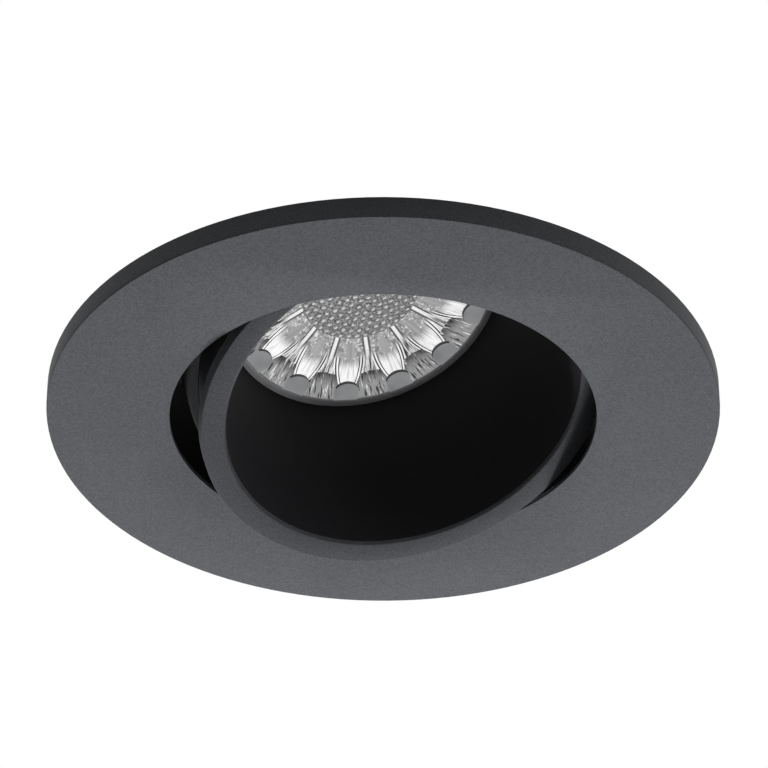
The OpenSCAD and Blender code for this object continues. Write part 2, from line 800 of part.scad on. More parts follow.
// A closed tube of triangles round a path
module wire(p, r, sides) {
    t = tangents(p);
    side_v = carried(t);
    last = len(p) - 1;
    points = concat(
        [for (i = [0:last], k = [0:sides - 1])
            let (a = 360 * k / sides, up = cross(t[i], side_v[i]))
            p[i] + r * (cos(a) * side_v[i] + sin(a) * up)],
        [p[0], p[last]]
    );
    start = len(p) * sides;
    faces = concat(
        [for (i = [0:last - 1], k = [0:sides - 1])
            let (m = (k + 1) % sides)
            each [[i * sides + k, (i + 1) * sides + m, i * sides + m],
                [i * sides + k, (i + 1) * sides + k, (i + 1) * sides + m]]],
        [for (k = [0:sides - 1]) [start, k, (k + 1) % sides]],
        [for (k = [0:sides - 1]) [start + 1, last * sides + (k + 1) % sides, last * sides + k]]
    );
    polyhedron(points, faces);
}

// Least clear space between stretches of the wire that aren't next to each other
function least_gap(p) = min([
    for (i = [0:len(p) - 1], j = [i + 6:1:len(p) - 1]) norm(p[i] - p[j]) - 2 * wire_r
]);
echo(str("spring wire, least gap to itself: ", least_gap(clip_path()), " mm"));

module spring_clip_at_rest() {
    translate([0, spring_y, spring_z]) rotate([-arm_slope, 0, 0]) wire(clip_path(), wire_r, wire_sides);
}

module sleeve_at_rest() {
    tip = tip_point(tip_l);
    translate([0, spring_y, spring_z]) rotate([-arm_slope, 0, 0]) translate([0, tip[0], tip[1]])
        difference() {
            x_bar(sleeve_r, -sleeve_l / 2, sleeve_l / 2);
            x_bar(wire_r + 0.02, -sleeve_l, sleeve_l);
        }
}

module rear_spring_clip() {
    color(steel) spring_clip_at_rest();
}

module rear_spring_sleeve() {
    color(soft_black) sleeve_at_rest();
}

module front_spring_clip() {
    color(steel) rotate([0, 0, 180]) spring_clip_at_rest();
}

module front_spring_sleeve() {
    color(soft_black) rotate([0, 0, 180]) sleeve_at_rest();
}

bezel();
ceiling_gasket();
glide_ring();
wave_washer();
snap_ring();
spring_pins();
pin_clips();
swivel_ring();
pivot_screws();
pivot_bushes();
lamp_housing();
front_rim();
baffle();
lens_ring();
lens_gasket();
lens();
lens_holder();
cob_holder();
cob_board();
emitter();
thermal_pad();
cob_screws();
housing_gasket();
heat_sink();
heat_sink_screws();
gland_body();
gland_seal();
gland_nut();
front_spring_clip();
front_spring_sleeve();
rear_spring_clip();
rear_spring_sleeve();
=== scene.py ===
import json
import math

import bpy
from mathutils import Matrix, Vector


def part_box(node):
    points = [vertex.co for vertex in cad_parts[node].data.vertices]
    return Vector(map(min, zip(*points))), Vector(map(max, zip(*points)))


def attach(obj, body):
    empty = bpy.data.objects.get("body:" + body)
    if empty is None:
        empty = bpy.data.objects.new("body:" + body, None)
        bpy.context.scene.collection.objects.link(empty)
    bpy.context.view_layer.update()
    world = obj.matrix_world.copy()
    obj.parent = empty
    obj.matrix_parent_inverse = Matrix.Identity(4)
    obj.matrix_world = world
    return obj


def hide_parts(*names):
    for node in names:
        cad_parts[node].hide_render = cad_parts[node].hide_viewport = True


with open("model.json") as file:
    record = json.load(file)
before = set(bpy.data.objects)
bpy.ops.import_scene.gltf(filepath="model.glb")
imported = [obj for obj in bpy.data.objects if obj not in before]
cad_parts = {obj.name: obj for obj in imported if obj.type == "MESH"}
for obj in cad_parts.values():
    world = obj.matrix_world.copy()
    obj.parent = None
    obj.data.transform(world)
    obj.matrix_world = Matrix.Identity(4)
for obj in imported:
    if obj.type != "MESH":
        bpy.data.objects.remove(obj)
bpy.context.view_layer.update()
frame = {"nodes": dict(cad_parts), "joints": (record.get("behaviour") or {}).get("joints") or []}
joints = {joint["name"]: joint for joint in frame["joints"]}
mm = 0.001
print("frame loaded:", len(frame["nodes"]), "nodes")

# The head is drawn level, with its hinge at the origin, and then put in its resting place
hingeHeight = joints["head_tilt"]["pos_m"][2]
headTilt = math.radians(-joints["head_tilt"]["range_deg"][0])
headPlace = Matrix.Translation((0, 0, hingeHeight)) @ Matrix.Rotation(-headTilt, 4, "X")
sameSpot = 1e-6  # corners closer than this count as one


# Small helpers

def deselectAll():
    if bpy.context.object and bpy.context.object.mode != "OBJECT":
        bpy.ops.object.mode_set(mode="OBJECT")
    bpy.ops.object.select_all(action="DESELECT")


def makeActive(piece):
    deselectAll()
    piece.select_set(True)
    bpy.context.view_layer.objects.active = piece


def editAll(piece):
    makeActive(piece)
    bpy.ops.object.mode_set(mode="EDIT")
    bpy.ops.mesh.select_all(action="SELECT")


def applyPlace(piece, place):
    # the place goes into the mesh, so the object stays at the origin
    piece.matrix_world = place @ piece.matrix_world
    makeActive(piece)
    bpy.ops.object.transform_apply(location=True, rotation=True, scale=True)


def applyModifiers(piece):
    makeActive(piece)
    for modifier in list(piece.modifiers):
        bpy.ops.object.modifier_apply(modifier=modifier.name)


def roundEdges(piece, width, segments, angle=30):
    bevel = piece.modifiers.new("roundedEdges", "BEVEL")
    bevel.width = width
    bevel.segments = segments
    bevel.limit_method = "ANGLE"
    bevel.angle_limit = math.radians(angle)
    applyModifiers(piece)


def smooth(piece, angle=32):
    makeActive(piece)
    bpy.ops.object.shade_smooth_by_angle(angle=math.radians(angle))


def joinPieces(pieces, name):
    deselectAll()
    for piece in pieces:
        piece.select_set(True)
    bpy.context.view_layer.objects.active = pieces[0]
    bpy.ops.object.join()
    pieces[0].name = name
    return pieces[0]


def copyPiece(piece, place):
    makeActive(piece)
    bpy.ops.object.duplicate()
    other = bpy.context.object
    applyPlace(other, place)
    return other


def repeatRound(piece, count):
    # the piece and its copies, spaced evenly round the Z axis
    turn = 2 * math.pi / count
    return [piece] + [copyPiece(piece, Matrix.Rotation(k * turn, 4, "Z")) for k in range(1, count)]


def turnRing(name, section, segments=256):
    # section: radius and height of each corner, walked once round
    deselectAll()
    startRadius, startHeight = section[0]
    bpy.ops.mesh.primitive_circle_add(vertices=segments, radius=startRadius,
                                      location=(0, 0, startHeight))
    piece = bpy.context.object
    piece.name = name
    bpy.ops.object.transform_apply(location=True)
    editAll(piece)
    corners = section + section[:1]
    for (radius, height), (nextRadius, nextHeight) in zip(corners, corners[1:]):
        bpy.ops.mesh.extrude_region_move(
            TRANSFORM_OT_translate={"value": (0, 0, nextHeight - height)})
        ratio = nextRadius / radius
        bpy.ops.transform.resize(value=(ratio, ratio, 1), center_override=(0, 0, 0))
    bpy.ops.mesh.select_all(action="SELECT")
    bpy.ops.mesh.remove_doubles(threshold=sameSpot)
    bpy.ops.mesh.normals_make_consistent(inside=False)
    bpy.ops.object.mode_set(mode="OBJECT")
    return piece


def finishPiece(piece, body, finish, stoodFor=()):
    piece.data.materials.clear()
    piece.data.materials.append(finish)
    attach(piece, body)
    if stoodFor:
        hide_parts(*stoodFor)


def refinedCopy(node, name, edge, segments=2):
    # a node's own shape, with its sharp edges rounded as a casting's or a pressing's are
    makeActive(frame["nodes"][node])
    bpy.ops.object.duplicate()
    piece = bpy.context.object
    piece.name = name
    for key in list(piece.keys()):
        del piece[key]
    piece.parent = None
    bpy.ops.mesh.customdata_custom_splitnormals_clear()
    editAll(piece)
    bpy.ops.mesh.remove_doubles(threshold=sameSpot)
    bpy.ops.mesh.dissolve_limited(angle_limit=math.radians(0.4))  # joins a flat face's triangles
    bpy.ops.object.mode_set(mode="OBJECT")
    roundEdges(piece, edge, segments)
    smooth(piece)
    return piece


def refineNode(node, name, body, finish, edge, segments=2):
    finishPiece(refinedCopy(node, name, edge, segments), body, finish, [node])


# Shader helpers

def link(tree, value, socket):
    if isinstance(value, bpy.types.NodeSocket):
        tree.links.new(value, socket)
    else:
        socket.default_value = value


def calc(tree, operation, *values):
    node = tree.nodes.new("ShaderNodeMath")
    node.operation = operation
    for value, socket in zip(values, node.inputs):
        link(tree, value, socket)
    return node.outputs[0]


def plus(tree, first, *others):
    for other in others:
        first = calc(tree, "ADD", first, other)
    return first


def times(tree, first, *others):
    for other in others:
        first = calc(tree, "MULTIPLY", first, other)
    return first


def minus(tree, first, second):
    return calc(tree, "SUBTRACT", first, second)


def ramp(tree, value, factor, offset):
    # the value times the factor, plus the offset
    return calc(tree, "MULTIPLY_ADD", value, factor, offset)


def without(tree, share):
    return minus(tree, 1.0, share)


def length(tree, x, y):
    return calc(tree, "SQRT", plus(tree, times(tree, x, x), times(tree, y, y)))


def step(tree, value, low, high):
    # 0 up to the low end, 1 from the high end on, and smooth between them
    node = tree.nodes.new("ShaderNodeMapRange")
    node.interpolation_type = "SMOOTHSTEP"
    link(tree, value, node.inputs["Value"])
    link(tree, low, node.inputs["From Min"])
    link(tree, high, node.inputs["From Max"])
    return node.outputs["Result"]


def span(start, ends):
    return start + ends[0], start + ends[1]


def blendValue(tree, share, first, second):
    node = tree.nodes.new("ShaderNodeMix")
    node.data_type = "FLOAT"
    link(tree, share, node.inputs[0])
    link(tree, first, node.inputs[2])
    link(tree, second, node.inputs[3])
    return node.outputs[0]


def blendColour(tree, share, first, second):
    node = tree.nodes.new("ShaderNodeMix")
    node.data_type = "RGBA"
    link(tree, share, node.inputs[0])
    link(tree, (*first, 1), node.inputs[6])
    link(tree, (*second, 1), node.inputs[7])
    return node.outputs[2]


def combine(tree, x, y=0.0, z=0.0):
    node = tree.nodes.new("ShaderNodeCombineXYZ")
    for value, socket in zip((x, y, z), node.inputs):
        link(tree, value, socket)
    return node.outputs[0]


def separate(tree, vector):
    node = tree.nodes.new("ShaderNodeSeparateXYZ")
    link(tree, vector, node.inputs[0])
    return node.outputs["X"], node.outputs["Y"]


def noise(tree, vector, scale, detail=2.0, roughness=0.5):
    node = tree.nodes.new("ShaderNodeTexNoise")
    link(tree, vector, node.inputs["Vector"])
    link(tree, scale, node.inputs["Scale"])
    node.inputs["Detail"].default_value = detail
    node.inputs["Roughness"].default_value = roughness
    return node.outputs["Fac"]


def objectPlace(tree):
    return tree.nodes.new("ShaderNodeTexCoord").outputs["Object"]


def bump(tree, height, distance, strength):
    node = tree.nodes.new("ShaderNodeBump")
    node.inputs["Distance"].default_value = distance
    node.inputs["Strength"].default_value = strength
    link(tree, height, node.inputs["Height"])
    return node.outputs["Normal"]


def newMaterial(name, **sockets):
    material = bpy.data.materials.new(name)
    material.use_nodes = True
    shader = material.node_tree.nodes["Principled BSDF"]
    for socket, value in sockets.items():
        shader.inputs[socket.replace("_", " ")].default_value = value
    return material, material.node_tree, shader


def newGroup(name, inputs, outputs):
    group = bpy.data.node_groups.new(name, "ShaderNodeTree")
    for socket, kind in inputs.items():
        group.interface.new_socket(socket, in_out="INPUT", socket_type="NodeSocket" + kind)
    for socket, kind in outputs.items():
        group.interface.new_socket(socket, in_out="OUTPUT", socket_type="NodeSocket" + kind)
    return group, group.nodes.new("NodeGroupInput"), group.nodes.new("NodeGroupOutput")


def useGroup(tree, group, **values):
    node = tree.nodes.new("ShaderNodeGroup")
    node.node_tree = group
    for socket, value in values.items():
        link(tree, value, node.inputs[socket.replace("_", " ")])
    return node.outputs


grainSpec = {
    "fineDetail": 2.0,
    "fineRoughness": 0.6,
    "softDetail": 1.0,  # of the coarse and the slow noise
    "coarseScale": 0.37,
    "slowScale": 0.02,
    "fineShare": 0.93,  # of the height
    "coarseShare": 0.07,
    "slowShare": 0.07,  # of the tone
}


def makeGrainGroup(spec):
    # fine sand of a coat or a moulding, with slow changes of tone
    group, given, result = newGroup("surfaceGrain", {"Vector": "Vector", "Grain Size": "Float"},
                                    {"Tone": "Float", "Height": "Float"})
    place = given.outputs["Vector"]
    scale = calc(group, "DIVIDE", 1.0, given.outputs["Grain Size"])
    fine = noise(group, place, scale, spec["fineDetail"], spec["fineRoughness"])
    coarse = noise(group, place, times(group, scale, spec["coarseScale"]), spec["softDetail"])
    slow = noise(group, place, times(group, scale, spec["slowScale"]), spec["softDetail"])
    height = plus(group, times(group, fine, spec["fineShare"]),
                  times(group, coarse, spec["coarseShare"]))
    tone = plus(group, times(group, height, 1 - spec["slowShare"]),
                times(group, slow, spec["slowShare"]))
    group.links.new(tone, result.inputs["Tone"])
    group.links.new(height, result.inputs["Height"])
    return group


grainGroup = makeGrainGroup(grainSpec)


# Finishes, with grain, relief and cells in millimetres

toneSpread = (0.3, 0.7)  # a noise's usual range


def coat(name, colour, grain=0.35, relief=0.035, strength=0.5, contrast=0.12, roughness=0.6,
         specular=0.16):
    # paint, rubber or a moulding
    material, tree, shader = newMaterial(name, Roughness=roughness, Specular_IOR_Level=specular)
    sand = useGroup(tree, grainGroup, Vector=objectPlace(tree), Grain_Size=grain * mm)
    dark = tuple(c * (1 - contrast) for c in colour)
    light = tuple(c * (1 + contrast) for c in colour)
    spread = step(tree, sand["Tone"], *toneSpread)
    link(tree, blendColour(tree, spread, dark, light), shader.inputs["Base Color"])
    link(tree, bump(tree, sand["Height"], relief * mm, strength), shader.inputs["Normal"])
    return material


def metal(name, colour, roughness, contrast=0.15, grain=1.2, relief=0.01, strength=0.1,
          unevenness=0.12):
    material, tree, shader = newMaterial(name, Metallic=1.0)
    sand = useGroup(tree, grainGroup, Vector=objectPlace(tree), Grain_Size=grain * mm)
    dark = tuple(c * (1 - contrast) for c in colour)
    spread = step(tree, sand["Tone"], *toneSpread)
    link(tree, blendColour(tree, spread, dark, colour), shader.inputs["Base Color"])
    polish = ramp(tree, sand["Tone"], unevenness, roughness - unevenness / 2)
    link(tree, polish, shader.inputs["Roughness"])
    link(tree, bump(tree, sand["Height"], relief * mm, strength), shader.inputs["Normal"])
    return material


def foam(name, colour, cell=0.7, depth=0.15, strength=0.7, pitEdge=(0.05, 0.55), pitShade=0.35):
    material, tree, shader = newMaterial(name, Roughness=0.85, Specular_IOR_Level=0.25)
    cells = tree.nodes.new("ShaderNodeTexVoronoi")
    link(tree, objectPlace(tree), cells.inputs["Vector"])
    cells.inputs["Scale"].default_value = 1 / (cell * mm)
    # painted shade: the hollow of each cell is darkened by pitShade, as shade falls in it
    pit = step(tree, cells.outputs["Distance"], *pitEdge)
    pitShadeColour = tuple(c * pitShade for c in colour)
    link(tree, blendColour(tree, pit, pitShadeColour, colour), shader.inputs["Base Color"])
    link(tree, bump(tree, pit, depth * mm, strength), shader.inputs["Normal"])
    return material


charcoalCoat = coat("charcoalCoat", colour=(0.078, 0.081, 0.088), grain=0.2, contrast=0.28, strength=0.6)
ringGrey = coat("ringGrey", colour=(0.70, 0.70, 0.72), grain=0.25, contrast=0.06, strength=0.2)
blackCoat = coat("blackCoat", colour=(0.010, 0.010, 0.011), roughness=0.7, specular=0.02)
housingCoat = coat("housingCoat", colour=(0.034, 0.034, 0.036), roughness=0.7, specular=0.06)
mattBlack = coat("mattBlack", colour=(0.024, 0.022, 0.025), grain=0.22, strength=0.25,
                 roughness=0.7, specular=0.10)
springSteel = metal("springSteel", colour=(0.38, 0.38, 0.385), roughness=0.32, contrast=0.08)
zincPlate = metal("zincPlate", colour=(0.46, 0.475, 0.50), roughness=0.34, grain=2.5)
gasketFoam = foam("gasketFoam", colour=(0.035, 0.035, 0.037))
sleeveRubber = coat("sleeveRubber", colour=(0.022, 0.022, 0.023), grain=0.5, roughness=0.62)
greySilicone = coat("greySilicone", colour=(0.28, 0.28, 0.29), grain=0.6, strength=0.2, roughness=0.5)
ivoryNylon = coat("ivoryNylon", colour=(0.72, 0.69, 0.60), grain=1.1, strength=0.15,
                  contrast=0.05, roughness=0.42, specular=0.5)
glandNylon = coat("glandNylon", colour=(0.030, 0.030, 0.032), grain=0.45, strength=0.25,
                  roughness=0.45, specular=0.5)
whiteMoulding = coat("whiteMoulding", colour=(0.80, 0.80, 0.78), grain=0.9, strength=0.12,
                     contrast=0.03, roughness=0.4, specular=0.5)
lightBoard = coat("lightBoard", colour=(0.72, 0.73, 0.74), grain=0.5, strength=0.1,
                  contrast=0.05, roughness=0.35, specular=0.5)
phosphor = coat("phosphor", colour=(0.86, 0.60, 0.10), grain=0.3, strength=0.3, contrast=0.1,
                roughness=0.5)
thermalFilm = coat("thermalFilm", colour=(0.16, 0.16, 0.17), grain=0.4, strength=0.2, roughness=0.4)
print("finishes made")


# Camera, soffit and light

cameraSpec = {
    "elevation": -34.74,  # degrees, looking up at the soffit
    "distance": 0.555,  # metres
    "lookedAt": (0.11 * mm, 5.03 * mm),  # right of and above the middle of the flange's face
    "focal": 194.37,  # millimetres
}


def makeCamera(spec):
    rise = math.radians(-spec["elevation"])
    middle = Vector((0, 0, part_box("bezel")[0].z))
    along = math.cos(rise) / math.sqrt(2)
    towards = Vector((along, along, math.sin(rise)))
    right = Vector((1, -1, 0)).normalized()
    up = right.cross(towards)
    aim = middle + right * spec["lookedAt"][0] + up * spec["lookedAt"][1]
    place = middle - towards * spec["distance"]
    bpy.ops.object.camera_add(location=place, rotation=(aim - place).to_track_quat("-Z", "Y").to_euler())
    camera = bpy.context.object
    camera.data.lens = spec["focal"]
    camera.data.sensor_width = 36
    camera.data.clip_start = 0.01
    camera.data.clip_end = 50
    bpy.context.scene.camera = camera


# places and sizes in metres, power in watts
lamps = {
    "keyLamp": {"place": (1.32, 1.57, -1.28), "power": 163, "size": 0.42, "shines": False},
    "sideLamp": {"place": (0.46, -0.42, -0.30), "power": 1.15, "size": 0.25},
    "fillLamp": {"place": (-0.86, -0.90, -0.78), "power": 0.5, "size": 0.8},
    "topLamp": {"place": (-0.45, -0.55, 0.95), "power": 22, "size": 0.8},
    "backLamp": {"place": (-0.15, 0.85, 0.75), "power": 10, "size": 0.8},
}


def makeLamp(name, place, power, size, shines=True):
    bpy.ops.object.light_add(type="AREA", location=place)
    lamp = bpy.context.object
    lamp.name = name
    lamp.rotation_euler = (-Vector(place)).to_track_quat("-Z", "Y").to_euler()
    lamp.data.energy = power
    lamp.data.size = size
    lamp.visible_camera = False
    lamp.visible_glossy = shines


def shownRays(tree):
    # camera, glossy and transmission rays see the plain white surroundings
    rays = tree.nodes.new("ShaderNodeLightPath").outputs
    seen = calc(tree, "MAXIMUM", rays["Is Camera Ray"], rays["Is Glossy Ray"])
    return rays["Is Camera Ray"], calc(tree, "MAXIMUM", seen, rays["Is Transmission Ray"])


def makeSurroundings(dimStrength):
    world = bpy.data.worlds.new("studio")
    bpy.context.scene.world = world
    world.use_nodes = True
    tree = world.node_tree
    shade = tree.nodes["Background"]
    shade.inputs["Color"].default_value = (1, 1, 1, 1)
    seen = shownRays(tree)[1]
    link(tree, blendValue(tree, seen, dimStrength, 1.0), shade.inputs["Strength"])


def mixShaders(tree, share, first, second):
    node = tree.nodes.new("ShaderNodeMixShader")
    for value, socket in zip((share, first, second), node.inputs):
        tree.links.new(value, socket)
    return node.outputs[0]


def paleMaterial(name, shade, clearFromBehind):
    material, tree, shader = newMaterial(name, Roughness=0.8, Base_Color=(shade, shade, shade, 1))
    cameraRay, seen = shownRays(tree)
    glow = tree.nodes.new("ShaderNodeEmission")
    surface = mixShaders(tree, seen, shader.outputs[0], glow.outputs[0])
    if clearFromBehind:
        clear = tree.nodes.new("ShaderNodeBsdfTransparent")
        behind = tree.nodes.new("ShaderNodeNewGeometry").outputs["Backfacing"]
        surface = mixShaders(tree, times(tree, behind, cameraRay), surface, clear.outputs[0])
    tree.links.new(surface, tree.nodes["Material Output"].inputs["Surface"])
    return material


stageSpec = {
    "cutoutRadius": 39.2 * mm,
    "soffitRadius": 0.6,
    "soffitHeight": 0.05 * mm,
    "soffitShade": 0.35,
    "floorHeight": -1.35,
    "floorSize": 8,
    "floorShade": 0.14,
    "dimStrength": 0.0015,  # of the surroundings, as a light
}


def makeStage(spec):
    deselectAll()
    height = spec["soffitHeight"]
    bpy.ops.mesh.primitive_circle_add(vertices=128, radius=spec["cutoutRadius"], location=(0, 0, height))
    soffit = bpy.context.object
    soffit.name = "soffitBoard"
    editAll(soffit)
    bpy.ops.mesh.extrude_region_move()
    ratio = spec["soffitRadius"] / spec["cutoutRadius"]
    bpy.ops.transform.resize(value=(ratio, ratio, 1), center_override=(0, 0, height))
    bpy.ops.object.mode_set(mode="OBJECT")
    if soffit.data.polygons[0].normal.z > 0:
        soffit.data.flip_normals()
    soffit.data.materials.append(paleMaterial("soffitWhite", spec["soffitShade"], clearFromBehind=True))
    bpy.ops.mesh.primitive_plane_add(size=spec["floorSize"], location=(0, 0, spec["floorHeight"]))
    floor = bpy.context.object
    floor.name = "floor"
    floor.data.materials.append(paleMaterial("floorPale", spec["floorShade"], clearFromBehind=False))


bpy.context.scene.view_settings.view_transform = "Standard"
makeCamera(cameraSpec)
for name, spec in lamps.items():
    makeLamp(name, **spec)
makeSurroundings(stageSpec["dimStrength"])
makeStage(stageSpec)
print("camera, soffit and lamps placed")


# Flange and what is fixed to it

refineNode("bezel", "flangeCasting", "fixed_frame", charcoalCoat,
           edge=0.12 * mm, segments=3)
refineNode("spring_pins", "springPins", "fixed_frame", zincPlate, edge=0.2 * mm)
refineNode("pin_clips", "pinClips", "fixed_frame", springSteel, edge=0.08 * mm)
refineNode("snap_ring", "snapRing", "fixed_frame", springSteel, edge=0.08 * mm)
refineNode("swivel_ring", "swivelRing", "swivel", blackCoat, edge=0.15 * mm)
refineNode("pivot_screws", "pivotScrews", "swivel", zincPlate, edge=0.12 * mm)
print("flange and swivel made")


# Head

rimSpec = {
    "faceHeight": -12.4 * mm,
    "outerRadius": 27.88 * mm,
    "mouthRadius": 24.8 * mm,
    "boreRadius": 24.4 * mm,
    "bevelDepth": 0.4 * mm,
    "lipThickness": 1.9 * mm,
    "tubeRadius": 26.0 * mm,
    "tubeInnerRadius": 24.95 * mm,
    "tubeEnd": 0.1 * mm,
    "edge": 0.14 * mm,
}


def makeRim(spec):
    face = spec["faceHeight"]
    rim = turnRing("frontRim", [
        (spec["mouthRadius"], face),
        (spec["outerRadius"], face),
        (spec["outerRadius"], face + spec["lipThickness"]),
        (spec["tubeRadius"], face + spec["lipThickness"]),
        (spec["tubeRadius"], spec["tubeEnd"]),
        (spec["tubeInnerRadius"], spec["tubeEnd"]),
        (spec["tubeInnerRadius"], face + spec["bevelDepth"]),
        (spec["boreRadius"], face + spec["bevelDepth"]),
    ])
    roundEdges(rim, spec["edge"], segments=4)
    smooth(rim)
    applyPlace(rim, headPlace)
    finishPiece(rim, "lamp_head", charcoalCoat, ["front_rim"])


baffleSpec = {
    "mouthRadius": 24.4 * mm,
    "lensRadius": 19.3 * mm,
    "frontHeight": -11.95 * mm,
    "backHeight": 10.95 * mm,
    "wall": 0.7 * mm,
    "mouthWall": 0.5 * mm,
    "flangeRadius": 24.9 * mm,
    "flangeThickness": 1 * mm,
    "footRadius": 21.7 * mm,
    "edge": 0.15 * mm,
}


def makeBaffle(spec):
    front, back, wall = spec["frontHeight"], spec["backHeight"], spec["wall"]
    baffle = turnRing("baffleCone", [
        (spec["mouthRadius"], front),
        (spec["flangeRadius"], front),
        (spec["flangeRadius"], front + spec["flangeThickness"]),
        (spec["mouthRadius"] + spec["mouthWall"], front + spec["flangeThickness"]),
        (spec["lensRadius"] + wall, back - wall),
        (spec["footRadius"], back - wall),
        (spec["footRadius"], back),
        (spec["lensRadius"], back),
    ])
    roundEdges(baffle, spec["edge"], segments=2)
    smooth(baffle)
    applyPlace(baffle, headPlace)
    finishPiece(baffle, "lamp_head", mattBlack, ["baffle"])


makeRim(rimSpec)
makeBaffle(baffleSpec)
refineNode("lens_ring", "lensRing", "lamp_head", ringGrey, edge=0.12 * mm, segments=3)
refineNode("lamp_housing", "headHousing", "lamp_head", housingCoat, edge=0.2 * mm)
print("head shells made")


# Optic, in millimetres up to its place in the head

opticSpec = {
    "petals": 14,
    "firstPetal": 3.8,  # degrees from +X
    "rimRadius": 18.45,
    "rimHeight": 11.15,
    "discRadius": 8.5,
    "blockStart": 12.3,  # where the bright block of a petal begins
    "darkStart": 14.6,  # where the dark recess between two tabs begins
    "stripePitch": 0.46,
    "glow": 0.85,
}

petalShape = {
    "overlap": 0.9,  # the petals run on behind the disc
    "thickness": 0.8,
    "dish": 1.85,
    "dishPower": 1.4,
    "fadeLength": 3.0,  # the relief fades to the rim over this length
    "crown": 0.45,
    "barHeight": 0.35,
    "barWidth": 0.28,
    "barEnd": 13.5,
    "stripeDepth": 0.05,
    "stripesStart": 10.8,
    "stripesBetween": (1.2, 2.2),
    "recessDepth": 0.35,
    "recessFrom": 1.75,
    "columns": 56,
    "rows": 40,
}


def petalHeight(spec, shape, across, radius, halfWidth):
    # depth of the fluted face: a shallow dish, petals crowned across, bars between them,
    # and level with the ring at the rim
    toRim = spec["rimRadius"] - radius
    share = max(0.0, toRim / (spec["rimRadius"] - spec["discRadius"]))
    fade = min(1.0, toRim / shape["fadeLength"])
    height = spec["rimHeight"] + shape["dish"] * share ** shape["dishPower"]
    height += shape["crown"] * fade * (across / halfWidth) ** 2
    if radius < shape["barEnd"]:
        toEdge = abs(halfWidth - abs(across))
        height -= shape["barHeight"] * max(0.0, 1 - toEdge / shape["barWidth"])
    low, high = shape["stripesBetween"]
    if radius > shape["stripesStart"] and low < abs(across) < high:
        turns = abs(across) / spec["stripePitch"]
        height += shape["stripeDepth"] * fade * math.cos(2 * math.pi * turns)
    if radius > spec["darkStart"] and abs(across) > shape["recessFrom"]:
        height += shape["recessDepth"] * fade
    return height


def makePetals(spec, shape):
    deselectAll()
    bpy.ops.mesh.primitive_grid_add(x_subdivisions=shape["columns"], y_subdivisions=shape["rows"], size=1)
    petal = bpy.context.object
    inner = spec["discRadius"] - shape["overlap"]
    halfAngle = math.pi / spec["petals"]
    for vertex in petal.data.vertices:
        radius = inner + (spec["rimRadius"] - inner) * (vertex.co.y + 0.5)
        angle = 2 * vertex.co.x * halfAngle
        height = petalHeight(spec, shape, radius * angle, radius, radius * halfAngle)
        vertex.co = (radius * math.cos(angle) * mm, radius * math.sin(angle) * mm, height * mm)
    applyPlace(petal, Matrix.Rotation(math.radians(spec["firstPetal"]), 4, "Z"))
    petals = joinPieces(repeatRound(petal, spec["petals"]), "opticPetals")
    editAll(petals)
    bpy.ops.mesh.remove_doubles(threshold=2 * sameSpot)
    bpy.ops.mesh.normals_make_consistent(inside=False)
    bpy.ops.object.mode_set(mode="OBJECT")
    if sum(p.normal.z for p in petals.data.polygons) > 0:
        petals.data.flip_normals()
    wall = petals.modifiers.new("wall", "SOLIDIFY")
    wall.thickness = shape["thickness"] * mm
    wall.offset = -1
    applyModifiers(petals)
    smooth(petals, angle=40)
    applyPlace(petals, headPlace)
    return petals


discShape = {
    "faceHeight": 12.45,
    "domeRise": 0.9,
    "domeRings": 10,
    "pinhole": 0.02,  # share of a ring that stays open in the middle, under the middle bump
    "edgeHeight": 0.5,
    "backHeight": 13.6,
    "backShare": 0.93,  # of the disc's radius
    "segments": 96,
    "bumpPitch": 1.14,
    "bumpRings": 7,
    "bumpsMore": 6,  # bumps in the first ring round the middle bump, and as many more in each next ring
    "bumpRadius": 0.52,
    "bumpFlatness": 0.42,
    "bumpSink": 0.04,
    "bumpSegments": 14,
    "bumpCircles": 10,
}


def domeHeight(spec, shape, radius):
    # height of the domed face at a radius, and its slope there
    sphere = (spec["discRadius"] ** 2 + shape["domeRise"] ** 2) / (2 * shape["domeRise"])
    height = shape["faceHeight"] - math.sqrt(sphere ** 2 - radius ** 2) + sphere - shape["domeRise"]
    return height, math.asin(radius / sphere)


def makeBump(shape):
    deselectAll()
    bpy.ops.mesh.primitive_uv_sphere_add(segments=shape["bumpSegments"], ring_count=shape["bumpCircles"],
                                         radius=shape["bumpRadius"] * mm)
    bumpStart = bpy.context.object
    editAll(bumpStart)
    bpy.ops.mesh.bisect(plane_co=(0, 0, 0), plane_no=(0, 0, 1), clear_outer=True, use_fill=True)
    bpy.ops.object.mode_set(mode="OBJECT")
    applyPlace(bumpStart, Matrix.Diagonal((1, 1, shape["bumpFlatness"], 1)))
    return bumpStart


def makeDisc(spec, shape):
    # domed disc in the middle, covered with small round bumps in rings
    radius, back, rings = spec["discRadius"], shape["backHeight"], shape["domeRings"]
    section = []
    for k in range(rings + 1):
        r = radius * (1 - k / (rings + shape["pinhole"]))
        section.append((r * mm, domeHeight(spec, shape, r)[0] * mm))
    section.append((section[-1][0], back * mm))
    section.append((shape["backShare"] * radius * mm, back * mm))
    section.append((radius * mm, (shape["faceHeight"] + shape["edgeHeight"]) * mm))
    disc = turnRing("opticDisc", section, segments=shape["segments"])
    bumpStart = makeBump(shape)
    pieces = [disc]
    for ring in range(shape["bumpRings"] + 1):
        count = max(1, shape["bumpsMore"] * ring)
        r = ring * shape["bumpPitch"]
        height, slope = domeHeight(spec, shape, r)
        seat = Matrix.Translation((r * mm, 0, (height + shape["bumpSink"]) * mm))
        lean = Matrix.Rotation(slope, 4, "Y").inverted()
        for k in range(count):
            turn = Matrix.Rotation(2 * math.pi * k / count, 4, "Z")
            pieces.append(copyPiece(bumpStart, turn @ seat @ lean))
    bpy.data.objects.remove(bumpStart)
    disc = joinPieces(pieces, "opticDisc")
    smooth(disc, angle=40)
    applyPlace(disc, headPlace)
    return disc


